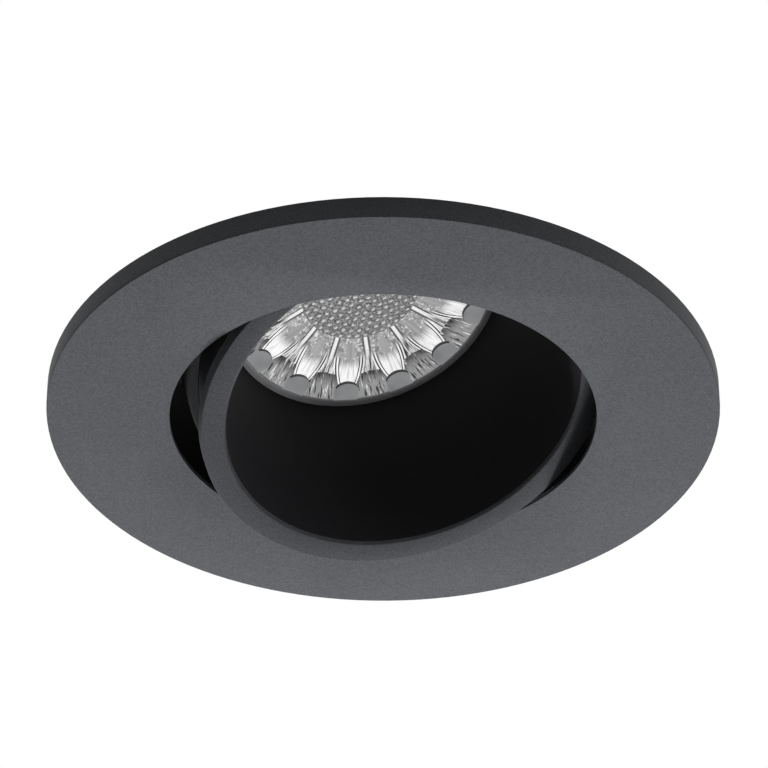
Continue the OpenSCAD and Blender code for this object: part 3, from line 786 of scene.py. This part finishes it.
tabShape = {
    "top": 15.35,
    "bow": 2.0,
    "halfWidth": 1.65,
    "footShare": 0.6,  # the round top is cut here, as a share of its bow from the top
    "outerRadius": 18.46,
    "height": 11.04,
    "thickness": 0.55,
    "edge": 0.06,
}


def makeTabs(spec, shape):
    # flat tabs of the holder, seen round the edge of the optic
    deselectAll()
    halfWidth, bow = shape["halfWidth"], shape["bow"]
    middle = shape["top"] + bow
    bpy.ops.mesh.primitive_circle_add(vertices=48, radius=bow * mm, fill_type="NGON",
                                      location=(middle * mm, 0, shape["height"] * mm))
    tab = bpy.context.object
    bpy.ops.object.transform_apply(location=True)
    editAll(tab)
    for side in (1, -1):
        bpy.ops.mesh.bisect(plane_co=(0, side * halfWidth * mm, 0), plane_no=(0, side, 0),
                            clear_outer=True, use_fill=False)
        bpy.ops.mesh.select_all(action="SELECT")
    foot = shape["top"] + bow * shape["footShare"]
    bpy.ops.mesh.bisect(plane_co=(foot * mm, 0, 0), plane_no=(1, 0, 0), clear_outer=True)
    bpy.ops.object.mode_set(mode="OBJECT")
    outer = max(v.co.x for v in tab.data.vertices)
    for vertex in tab.data.vertices:
        if vertex.co.x > outer - sameSpot:
            vertex.co.x = math.sqrt((shape["outerRadius"] * mm) ** 2 - vertex.co.y ** 2)
    editAll(tab)
    bpy.ops.mesh.extrude_region_move(TRANSFORM_OT_translate={"value": (0, 0, shape["thickness"] * mm)})
    bpy.ops.mesh.select_all(action="SELECT")
    bpy.ops.mesh.normals_make_consistent(inside=False)
    bpy.ops.object.mode_set(mode="OBJECT")
    roundEdges(tab, shape["edge"] * mm, segments=2)
    applyPlace(tab, Matrix.Rotation(math.radians(spec["firstPetal"]), 4, "Z"))
    tabs = joinPieces(repeatRound(tab, spec["petals"]), "holderTabs")
    smooth(tabs)
    applyPlace(tabs, headPlace)
    return tabs


coneSpec = {"cutHeight": 14.0, "edge": 0.08}


def makeOpticCone(spec):
    # the fluted cone behind the face, down to its cup over the light
    cone = refinedCopy("lens", "opticCone", spec["edge"] * mm)
    cut = headPlace @ Vector((0, 0, spec["cutHeight"] * mm))
    normal = headPlace.to_3x3() @ Vector((0, 0, 1))
    editAll(cone)
    bpy.ops.mesh.bisect(plane_co=cut, plane_no=normal, clear_inner=True, use_fill=True)
    bpy.ops.object.mode_set(mode="OBJECT")
    smooth(cone)
    return cone


def makePetalGroup(spec):
    # place on the optic, in millimetres: radius, distance across a petal, distance from the line
    # between two petals, and the petal's own number
    group, given, result = newGroup(
        "petalFields", {"Vector": "Vector"},
        {"Place": "Vector", "Radius": "Float", "Angle": "Float", "Across": "Float", "Edge": "Float",
         "Petal": "Float"})
    mapping = group.nodes.new("ShaderNodeMapping")
    mapping.vector_type = "TEXTURE"
    mapping.inputs["Location"].default_value = (0, 0, hingeHeight)
    mapping.inputs["Rotation"].default_value = (-headTilt, 0, 0)
    mapping.inputs["Scale"].default_value = (mm, mm, mm)
    group.links.new(given.outputs["Vector"], mapping.inputs["Vector"])
    place = mapping.outputs["Vector"]
    x, y = separate(group, place)
    radius = length(group, x, y)
    angle = calc(group, "ARCTAN2", y, x)
    firstAngle = math.radians(spec["firstPetal"])
    turns = times(group, minus(group, angle, firstAngle), spec["petals"] / (2 * math.pi))
    petal = calc(group, "FLOOR", plus(group, turns, 0.5))
    width = times(group, radius, 2 * math.pi / spec["petals"])
    across = times(group, minus(group, turns, petal), width)
    edge = minus(group, times(group, width, 0.5), calc(group, "ABSOLUTE", across))
    found = {"Place": place, "Radius": radius, "Angle": angle, "Across": across, "Edge": edge,
             "Petal": petal}
    for socket, value in found.items():
        group.links.new(value, result.inputs[socket])
    return group


def opticMaterial(spec, name, look):
    material, tree, shader = newMaterial(name, Roughness=look["roughness"],
                                         Specular_IOR_Level=look["specular"],
                                         Emission_Strength=spec["glow"])
    material.cycles.emission_sampling = "NONE"
    fields = useGroup(tree, petalFields, Vector=objectPlace(tree))
    return material, tree, shader, dict(fields.items())


def glowing(tree, shader, value, tint=(1.0, 1.0, 1.0)):
    # the optic shows light that no lamp of the scene brings, so its pattern also glows
    share = calc(tree, "MINIMUM", calc(tree, "MAXIMUM", value, 0.0), 1.0)
    colour = blendColour(tree, share, (0.0, 0.0, 0.0), tint)
    link(tree, colour, shader.inputs["Base Color"])
    link(tree, colour, shader.inputs["Emission Color"])


# In the looks, a name that ends in Edge says where a change begins and ends. One that ends in Tone
# gives a factor and an offset, or one number. A noise has its scale, detail and roughness, and a
# relief its depth and strength.
petalLook = {
    "roughness": 0.2,
    "specular": 0.5,
    "relief": (0.12 * mm, 0.5),
    "streakPlace": (60.0, 0.30, 3.7),  # by angle, radius and petal
    "streakNoise": (1.0, 2.5, 0.6),
    "softStreakNoise": (0.45, 1.0),
    "mottleNoise": (1.4, 3.0, 0.7),
    "leanFrom": 16.5,
    "lean": 0.06,  # a block's sides draw in towards its tab
    "bowMiddle": 13.3,
    "bow": 0.05,
    "innerTone": (0.30, 0.19),
    "speckNoise": (2.6, 1.0),
    "speckEdge": (0.58, 0.66),
    "speckTone": 0.40,
    "blockTone": (0.5, 0.55),
    "blockRiseEdge": (-0.3, 1.7),  # this, blockEdge and tongueTop count from the block's start
    "blockRiseTone": (0.65, 0.5),
    "blockEdge": (0.2, 0.8),
    "startCurve": 0.3,
    "tongueTop": -1.4,
    "tongueAlong": 0.5,
    "tongueAside": 8.0,
    "tongueEdge": (0.85, 1.15),
    "tongueTone": (0.25, 0.22),
    "stripeEdge": (-0.35, 0.35),
    "stripeTones": (0.04, 1.0),  # dark and light
    "stripeSideEdge": (1.18, 1.26),
    "stripeStartEdge": (11.2, 12.4),
    "flankEdge": (1.95, 2.1),
    "flankSoftEdge": (0.35, 0.65),
    "flankSoftTone": 0.18,
    "flankSharpEdge": (0.46, 0.55),
    "flankSharpTone": (0.58, 0.03),
    "barPlace": 3.0,  # by angle
    "barNoise": (1.0, 0.0),
    "barUneven": -4.0,
    "barEndEdge": (9.0, 11.0),
    "barSideEdge": (0.46, 0.60),
    "barShadeLineEdge": (0.22, 0.30),
    "barHighlightTone": (0.5, 0.62),
    "barShadeLineTone": 0.08,
    "shardPlace": (55.0, 0.5, 0.38),  # by angle, slant and radius
    "shardNoise": (1.0, 2.0, 0.6),
    "shardDarkEdge": (0.38, 0.44),
    "shardDarkTone": 0.02,
    "shardLightEdge": (0.60, 0.66),
    "shardLightTone": 0.55,
    "recessRise": 2.2,
    "recessTone": (0.21, 0.06),
    "recessStartEdge": (-0.05, 0.05),  # from the recess's start
    "recessSideEdge": (1.62, 1.72),
    "ringShadeEdge": (-0.2, -0.1),  # from the rim
    "ringShadeTone": 0.12,
}


def petalPlaces(tree, at, look):
    # streaks run along the radius, and a mottle lies all over
    byAngle, byRadius, byPetal = look["streakPlace"]
    along = combine(tree, times(tree, at["Angle"], byAngle), times(tree, at["Radius"], byRadius),
                    times(tree, at["Petal"], byPetal))
    at["streak"] = noise(tree, along, *look["streakNoise"])
    at["softStreak"] = noise(tree, along, *look["softStreakNoise"])
    at["mottle"] = noise(tree, at["Place"], *look["mottleNoise"])
    # distance from a petal's middle line, and the same bent as the block's sides are
    at["aside"] = calc(tree, "ABSOLUTE", at["Across"])
    lean = times(tree, minus(tree, at["Radius"], look["leanFrom"]), look["lean"])
    bow = minus(tree, at["Radius"], look["bowMiddle"])
    at["inset"] = plus(tree, at["aside"], lean, times(tree, bow, bow, look["bow"]))


def blockTones(tree, at, spec, look):
    # painted light seen through the optic: a mottled inner part, then a bright block with a grey tongue
    # between its two prongs
    start, radius = spec["blockStart"], at["Radius"]
    speck = step(tree, noise(tree, at["Place"], *look["speckNoise"]), *look["speckEdge"])
    inner = plus(tree, ramp(tree, step(tree, at["mottle"], *toneSpread), *look["innerTone"]),
                 times(tree, speck, look["speckTone"]))
    rise = step(tree, radius, *span(start, look["blockRiseEdge"]))
    block = times(tree, ramp(tree, step(tree, at["streak"], *toneSpread), *look["blockTone"]),
                  ramp(tree, rise, *look["blockRiseTone"]))
    curve = times(tree, at["aside"], at["aside"], look["startCurve"])
    blockShare = step(tree, plus(tree, radius, curve, at["mottle"]), *span(start, look["blockEdge"]))
    centre = blendValue(tree, blockShare, inner, block)
    down = minus(tree, radius, start + look["tongueTop"])
    tongue = plus(tree, times(tree, down, down, look["tongueAlong"]),
                  times(tree, curve, look["tongueAside"]))
    grey = ramp(tree, at["softStreak"], *look["tongueTone"])
    return blendValue(tree, step(tree, tongue, *look["tongueEdge"]), grey, centre)


def stripeTones(tree, at, spec, look):
    # fine lines on both sides of a block
    wave = calc(tree, "SINE", times(tree, at["inset"], 2 * math.pi / spec["stripePitch"]))
    share = times(tree, step(tree, at["inset"], *look["stripeSideEdge"]),
                  step(tree, at["Radius"], *look["stripeStartEdge"]))
    return share, blendValue(tree, step(tree, wave, *look["stripeEdge"]), *look["stripeTones"])


def flankTones(tree, at, look):
    # streaks beside the fine lines
    soft = times(tree, step(tree, at["softStreak"], *look["flankSoftEdge"]), look["flankSoftTone"])
    sharp = ramp(tree, step(tree, at["streak"], *look["flankSharpEdge"]), *look["flankSharpTone"])
    return step(tree, at["inset"], *look["flankEdge"]), plus(tree, soft, sharp)


def barTones(tree, at, look):
    # bars between the petals, a white painted highlight between two dark lines of painted shade, and of
    # uneven length
    uneven = noise(tree, combine(tree, times(tree, at["Angle"], look["barPlace"])), *look["barNoise"])
    reach = ramp(tree, uneven, look["barUneven"], at["Radius"])
    share = times(tree, without(tree, step(tree, at["Edge"], *look["barSideEdge"])),
                  without(tree, step(tree, reach, *look["barEndEdge"])))
    white = ramp(tree, at["streak"], *look["barHighlightTone"])
    line = step(tree, at["Edge"], *look["barShadeLineEdge"])
    return share, blendValue(tree, line, white, look["barShadeLineTone"])


def recessTones(tree, at, spec, look):
    # past the petals' ends the recess shows in painted shade, with jagged streaks of painted shade and
    # painted light
    start, radius = spec["darkStart"], at["Radius"]
    byAngle, slant, byRadius = look["shardPlace"]
    jagged = combine(tree, ramp(tree, at["Angle"], byAngle, times(tree, radius, slant)),
                     times(tree, radius, byRadius))
    shard = noise(tree, jagged, *look["shardNoise"])
    ground = ramp(tree, step(tree, radius, start, start + look["recessRise"]), *look["recessTone"])
    dark = ramp(tree, step(tree, shard, *look["shardDarkEdge"]), ground, look["shardDarkTone"])
    light = times(tree, step(tree, shard, *look["shardLightEdge"]), look["shardLightTone"])
    share = times(tree, step(tree, radius, *span(start, look["recessStartEdge"])),
                  step(tree, at["inset"], *look["recessSideEdge"]))
    return share, plus(tree, dark, light)


def petalMaterial(spec, look):
    material, tree, shader, at = opticMaterial(spec, "opticPetals", look)
    petalPlaces(tree, at, look)
    value = blockTones(tree, at, spec, look)
    for share, tone in (stripeTones(tree, at, spec, look), flankTones(tree, at, look),
                        barTones(tree, at, look), recessTones(tree, at, spec, look)):
        value = blendValue(tree, share, value, tone)
    # the face ends in painted shade from the ring
    ringShade = step(tree, at["Radius"], *span(spec["rimRadius"], look["ringShadeEdge"]))
    glowing(tree, shader, blendValue(tree, ringShade, value, look["ringShadeTone"]))
    link(tree, bump(tree, at["streak"], *look["relief"]), shader.inputs["Normal"])
    return material


discLook = {
    "roughness": 0.25,
    "specular": 0.5,
    "relief": (0.05 * mm, 0.3),
    "mottleNoise": (1.3, 2.0, 0.6),
    "fineNoise": (3.4, 2.0, 0.6),
    "shadeMiddle": (0.2, 0.2),  # this and glintMiddle count from a bump's middle
    "shadeEdge": (0.15, 0.75),
    "shadeTone": 0.07,
    "groundTone": (0.30, 0.07),
    "shadeLineRadius": 0.50,
    "shadeLineEdge": (0.03, 0.09),
    "shadeLineTone": 0.45,
    "glintMiddle": (-0.08, -0.02),
    "glintAxis": (0.358, -0.934),
    "glintStretch": 2.0,
    "glintEdge": (0.06, 0.17),
    "glintShare": 0.95,
    "glintTone": (1.3, 0.15),
}


def discMaterial(spec, shape, look):
    material, tree, shader, at = opticMaterial(spec, "opticDisc", look)
    # the nearest bump of the nearest ring, and the place on it
    ring = calc(tree, "ROUND", calc(tree, "DIVIDE", at["Radius"], shape["bumpPitch"]))
    count = calc(tree, "MAXIMUM", times(tree, ring, shape["bumpsMore"]), 1.0)
    turns = calc(tree, "ROUND", times(tree, at["Angle"], calc(tree, "DIVIDE", count, 2 * math.pi)))
    bumpAngle = times(tree, calc(tree, "DIVIDE", turns, count), 2 * math.pi)
    reach = times(tree, ring, shape["bumpPitch"])
    placeX, placeY = separate(tree, at["Place"])
    x = minus(tree, placeX, times(tree, reach, calc(tree, "COSINE", bumpAngle)))
    y = minus(tree, placeY, times(tree, reach, calc(tree, "SINE", bumpAngle)))

    def away(middle, stretch=1.0):
        # distance from a point on the bump, in an oval that lies along the glint
        dx, dy = plus(tree, x, -middle[0]), plus(tree, y, -middle[1])
        axisX, axisY = look["glintAxis"]
        along = plus(tree, times(tree, dx, axisX / stretch), times(tree, dy, axisY / stretch))
        return length(tree, along, minus(tree, times(tree, dx, axisY), times(tree, dy, axisX)))

    mottle = noise(tree, at["Place"], *look["mottleNoise"])
    fine = noise(tree, at["Place"], *look["fineNoise"])
    # painted shade across each bump: lighter away from a point set off its middle
    shade = step(tree, away(look["shadeMiddle"]), *look["shadeEdge"])
    ground = ramp(tree, shade, look["shadeTone"],
                  ramp(tree, step(tree, fine, *toneSpread), *look["groundTone"]))
    # painted shade: a dark line round each bump, in the crease between bumps
    shadeLine = calc(tree, "ABSOLUTE", minus(tree, away((0.0, 0.0)), look["shadeLineRadius"]))
    value = blendValue(tree, step(tree, shadeLine, *look["shadeLineEdge"]),
                       times(tree, ground, look["shadeLineTone"]), ground)
    # painted highlight: a bright oval glint on each bump
    glint = without(tree, step(tree, away(look["glintMiddle"], look["glintStretch"]), *look["glintEdge"]))
    value = blendValue(tree, times(tree, glint, look["glintShare"]), value,
                       ramp(tree, fine, *look["glintTone"]))
    glowing(tree, shader, value)
    link(tree, bump(tree, mottle, *look["relief"]), shader.inputs["Normal"])
    return material


tabLook = {
    "roughness": 0.5,
    "specular": 0.3,
    "shadeLineEdge": (0.04, 0.14),  # from the tab's edge
    "shadeLineEndEdge": (-1.0, -0.99),  # from the bow's middle
    "shadeLineTone": 0.03,
    "plainNoise": (0.35, 1.0),
    "plainTone": (0.16, 0.17),
    "tint": (0.96, 0.985, 1.0),
}


def tabMaterial(spec, shape, look):
    # grey that glows as painted light, with a dark line of painted shade round the top of each tab
    material, tree, shader, at = opticMaterial(spec, "holderTabs", look)
    down = minus(tree, at["Radius"], shape["top"] + shape["bow"])
    fromBow = minus(tree, shape["bow"], length(tree, down, at["Across"]))
    fromSide = minus(tree, shape["halfWidth"], calc(tree, "ABSOLUTE", at["Across"]))
    inside = calc(tree, "MINIMUM", fromBow, fromSide)
    plain = calc(tree, "MAXIMUM", step(tree, inside, *look["shadeLineEdge"]),
                 step(tree, down, *look["shadeLineEndEdge"]))
    tone = ramp(tree, noise(tree, at["Place"], *look["plainNoise"]), *look["plainTone"])
    glowing(tree, shader, blendValue(tree, plain, look["shadeLineTone"], tone), look["tint"])
    return material


petalFields = makePetalGroup(opticSpec)
petalFinish = petalMaterial(opticSpec, petalLook)
discFinish = discMaterial(opticSpec, discShape, discLook)
tabFinish = tabMaterial(opticSpec, tabShape, tabLook)
opticCone = makeOpticCone(coneSpec)  # copied here, because a replaced lens is hidden
opticPetals = makePetals(opticSpec, petalShape)
finishPiece(opticPetals, "lamp_head", petalFinish, ["lens"])
opticDisc = makeDisc(opticSpec, discShape)
finishPiece(opticDisc, "lamp_head", discFinish, ["lens"])
finishPiece(opticCone, "lamp_head", petalFinish, ["lens"])
finishPiece(makeTabs(opticSpec, tabShape), "lamp_head", tabFinish)
print("optic made")


# Behind the soffit

refineNode("heat_sink", "heatSink", "lamp_head", housingCoat, edge=0.15 * mm)
refineNode("heat_sink_screws", "heatSinkScrews", "lamp_head", zincPlate, edge=0.15 * mm)
refineNode("gland_body", "glandBody", "lamp_head", glandNylon, edge=0.15 * mm)
refineNode("gland_nut", "glandNut", "lamp_head", glandNylon, edge=0.2 * mm)
refineNode("gland_seal", "glandSeal", "lamp_head", sleeveRubber, edge=0.15 * mm)
refineNode("housing_gasket", "housingGasket", "lamp_head", greySilicone, edge=0.12 * mm)
refineNode("lens_gasket", "lensGasket", "lamp_head", greySilicone, edge=0.08 * mm)
refineNode("ceiling_gasket", "ceilingGasket", "fixed_frame", gasketFoam,
           edge=0.35 * mm, segments=3)
print("heat sink, gland and gaskets made")


# Spring clips, in millimetres up to their place: arms along Y, coils on X

springSpec = {
    "pivotY": 34.0,
    "pivotZ": 17.6,
    "slope": 18,  # degrees, of the arms at rest
    "wireRadius": 0.7,
    "wireRoundness": 3,
    "coilRadius": 2.6,
    "turns": 2.5,
    "pitch": 2.0,
    "stepsPerTurn": 32,
    "armX": 7.6,
    "armLength": 29.0,
    "kickHalf": 0.6,  # the arm bends up over this length, before and after its end
    "kickRise": 0.25,
    "tipKick": 22,  # degrees
    "tipLength": 7.0,
    "tipBend": 2.2,
    "tipSteps": 8,
    "tipGap": 2.2,
    "bridgeBend": 1.2,
    "bridgeSteps": 6,
    "sleeveRadius": 1.5,
    "sleeveLength": 9.0,
    "sleevePlay": 0.02,
    "sleeveEdge": 0.35,
}


def tipPoint(spec, along):
    kick = math.radians(spec["tipKick"])
    return spec["armLength"] + along * math.cos(kick), -spec["coilRadius"] + along * math.sin(kick)


def springHalf(spec):
    # from the tip, along the arm and through the coil to the bridge
    armX, coil, bend = spec["armX"], spec["coilRadius"], spec["tipBend"]
    points = [(spec["tipGap"] / 2, *tipPoint(spec, spec["tipLength"]))]
    for k in range(spec["tipSteps"] + 1):
        a = math.radians(90 - k * 90 / spec["tipSteps"])
        place = tipPoint(spec, spec["tipLength"] - bend + bend * math.sin(a))
        points.append((armX - bend + bend * math.cos(a), *place))
    points.append((armX, spec["armLength"] + spec["kickHalf"], -coil + spec["kickRise"]))
    points.append((armX, spec["armLength"] - spec["kickHalf"], -coil))
    perTurn, pitch = spec["stepsPerTurn"], spec["pitch"]
    for k in range(round(spec["turns"] * perTurn) + 1):
        a = -math.pi / 2 - 2 * math.pi * k / perTurn
        points.append((armX - pitch * k / perTurn, coil * math.cos(a), coil * math.sin(a)))
    end, bend = armX - pitch * spec["turns"], spec["bridgeBend"]
    for k in range(1, spec["bridgeSteps"] + 1):
        a = math.radians(90 * k / spec["bridgeSteps"])
        points.append((end - bend * (1 - math.cos(a)), bend * math.sin(a), coil))
    return points


def makeSpring(spec, name):
    half = springHalf(spec)
    path = half + [(-x, y, z) for x, y, z in reversed(half)]
    curve = bpy.data.curves.new(name, "CURVE")
    curve.dimensions = "3D"
    line = curve.splines.new("POLY")
    line.points.add(len(path) - 1)
    for point, place in zip(line.points, path):
        point.co = (*(value * mm for value in place), 1)
    curve.bevel_depth = spec["wireRadius"] * mm
    curve.bevel_resolution = spec["wireRoundness"]
    curve.use_fill_caps = True
    wire = bpy.data.objects.new(name, curve)
    bpy.context.scene.collection.objects.link(wire)
    makeActive(wire)
    bpy.ops.object.convert(target="MESH")
    smooth(bpy.context.object, angle=50)
    return bpy.context.object


def makeSleeve(spec, name):
    half, radius = spec["sleeveLength"] / 2 * mm, spec["sleeveRadius"] * mm
    bore = (spec["wireRadius"] + spec["sleevePlay"]) * mm
    sleeve = turnRing(name, [(bore, -half), (radius, -half), (radius, half), (bore, half)],
                      segments=48)
    roundEdges(sleeve, spec["sleeveEdge"] * mm, segments=3)
    smooth(sleeve)
    y, z = tipPoint(spec, spec["tipLength"])
    applyPlace(sleeve, Matrix.Translation((0, y * mm, z * mm)) @ Matrix.Rotation(math.pi / 2, 4, "Y"))
    return sleeve


pivot = Matrix.Translation((0, springSpec["pivotY"] * mm, springSpec["pivotZ"] * mm))
armsDown = pivot @ Matrix.Rotation(math.radians(-springSpec["slope"]), 4, "X")
halfTurn = Matrix.Rotation(math.pi, 4, "Z")
for side, place in (("rear", armsDown), ("front", halfTurn @ armsDown)):
    spring = makeSpring(springSpec, side + "Spring")
    applyPlace(spring, place)
    finishPiece(spring, side + "_spring", springSteel, [side + "_spring_clip"])
    sleeve = makeSleeve(springSpec, side + "Sleeve")
    applyPlace(sleeve, place)
    finishPiece(sleeve, side + "_spring", sleeveRubber, [side + "_spring_sleeve"])
print("spring clips made")


# Nodes that keep their own shape

keptNodes = {
    "glide_ring": ivoryNylon, "wave_washer": springSteel, "pivot_bushes": ivoryNylon,
    "lens_holder": whiteMoulding, "cob_holder": whiteMoulding, "cob_board": lightBoard,
    "emitter": phosphor, "thermal_pad": thermalFilm, "cob_screws": zincPlate,
}
for name, finish in keptNodes.items():
    node = frame["nodes"][name]
    node.data.materials.clear()
    node.data.materials.append(finish)
print("materials given to", len(keptNodes), "kept nodes")
